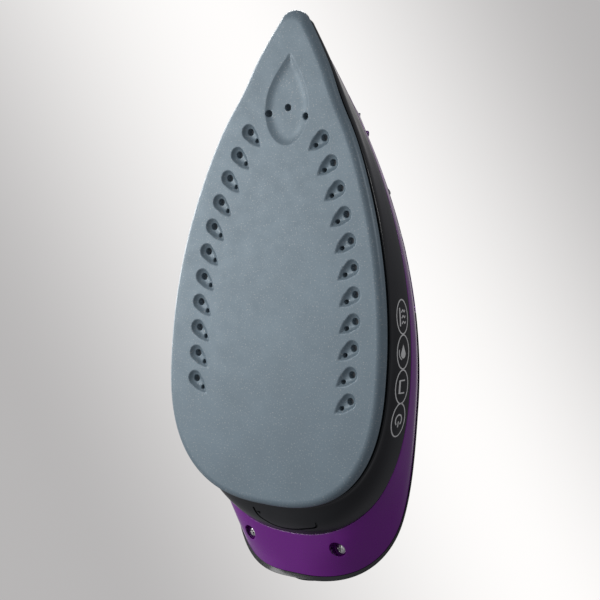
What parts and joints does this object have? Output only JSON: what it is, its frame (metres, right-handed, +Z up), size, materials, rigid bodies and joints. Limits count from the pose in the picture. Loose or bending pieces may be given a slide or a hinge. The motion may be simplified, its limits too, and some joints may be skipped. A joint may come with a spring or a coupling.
{
  "type": "steam iron",
  "caption": "Hand steam iron with a pointed ceramic-coated soleplate, recessed steam vents, black skirt, purple body, water tank and closed loop handle.",
  "frame": {"origin": "on the ironing face, on the symmetry plane, midway between the tip and the heel rest", "axes": "+Y towards the tip, +Z up from the sole, +X to the right of a person holding the handle"},
  "size_m": [0.1188, 0.273, 0.1223],
  "materials": {
    "sole_coating": "satin ceramic coating with a fine speckle",
    "aluminium": "die cast",
    "steel": "plated steel",
    "element_steel": "oxidised tube",
    "black_gloss": "glossy moulded",
    "black_satin": "fine texture",
    "purple_gloss": "glossy, fine metallic flake",
    "tank_clear": "translucent tinted plastic",
    "white_plastic": "moulded",
    "grip_rubber": "soft touch",
    "seal_rubber": "silicone",
    "black_rubber": "moulded",
    "grey_plastic": "satin moulded",
    "lens_red": "translucent",
    "lamp": "neon lamp",
    "brass": "stamped",
    "board": "circuit board",
    "wire": "insulated wire",
    "tube": "silicone tube"
  },
  "bodies": {
    "iron_body": {"soleplate": "sole_coating", "heater_casting": "aluminium", "heating_element": "element_steel", "chamber_seal": "seal_rubber", "chamber_cover": "steel", "chamber_screws": "steel", "thermostat": "brass", "thermal_fuse": "white_plastic", "skirt": "black_gloss", "skirt_screws": "steel", "body_shell": "purple_gloss", "heel_screws": "steel", "tank_base": "white_plastic", "tank_seal": "black_rubber", "water_tank": "tank_clear", "valve_seat": "brass", "upper_housing": "black_gloss", "spray_nozzle": "grey_plastic", "nozzle_tube": "tube", "lid_pin": "steel", "handle_frame": "black_gloss", "handle_nose": "black_gloss", "handle_top": "black_gloss", "handle_tail": "black_gloss", "handle_grip": "grip_rubber", "spray_spring": "steel", "spray_pump": "white_plastic", "steam_spring": "steel", "steam_pump": "white_plastic", "pump_tubes": "tube", "dial_scale": "white_plastic", "indicator_lens": "lens_red", "indicator_lamp": "lamp", "rear_cover": "black_satin", "rear_cover_screws": "steel", "heel_pads": "grip_rubber", "cord_gland": "black_satin", "terminal_block": "white_plastic", "control_board": "board", "lead_wires": "wire"},
    "dial": {"temperature_dial": "grey_plastic", "dial_shaft": "white_plastic"},
    "selector": {"steam_selector": "grey_plastic"},
    "valve": {"valve_rod": "white_plastic"},
    "steam_control": {"steam_button": "grey_plastic"},
    "spray_control": {"spray_button": "grey_plastic"},
    "lid": {"filler_lid": "grey_plastic", "filler_seal": "black_rubber"},
    "cord_ball": {"cord_swivel": "black_satin"}
  },
  "joints": [
    {"name": "dial_turn", "type": "hinge", "parent": "iron_body", "child": "dial", "pos_m": [0, -0.038, 0.06], "axis": [0, 0, 1], "range_deg": [0, 270]},
    {"name": "selector_turn", "type": "hinge", "parent": "iron_body", "child": "selector", "pos_m": [0, 0.0515, 0.0855], "axis": [0, 0.848, 0.5299], "range_deg": [0, 90]},
    {"name": "valve_lift", "type": "slide", "parent": "iron_body", "child": "valve", "axis": [0, 0, 1], "range_m": [0, 0.003]},
    {"name": "steam_press", "type": "slide", "parent": "iron_body", "child": "steam_control", "axis": [0, 0, -1], "range_m": [0, 0.003], "stiffness_N_per_m": 600, "springref_m": -0.002, "deforming": ["steam_spring"]},
    {"name": "spray_press", "type": "slide", "parent": "iron_body", "child": "spray_control", "axis": [0, 0, -1], "range_m": [0, 0.003], "stiffness_N_per_m": 600, "springref_m": -0.002, "deforming": ["spray_spring"]},
    {"name": "lid_swing", "type": "hinge", "parent": "iron_body", "child": "lid", "pos_m": [0, 0.0814, 0.0619], "axis": [-1, 0, 0], "range_deg": [0, 95]},
    {"name": "cord_swing", "type": "hinge", "parent": "iron_body", "child": "cord_ball", "pos_m": [0, -0.1125, 0.102], "axis": [1, 0, 0], "range_deg": [-20, 20]}
  ],
  "couplings": [
    {"joint": "selector_turn", "follows": "valve_lift", "rad_per_m": 523.55}
  ]
}
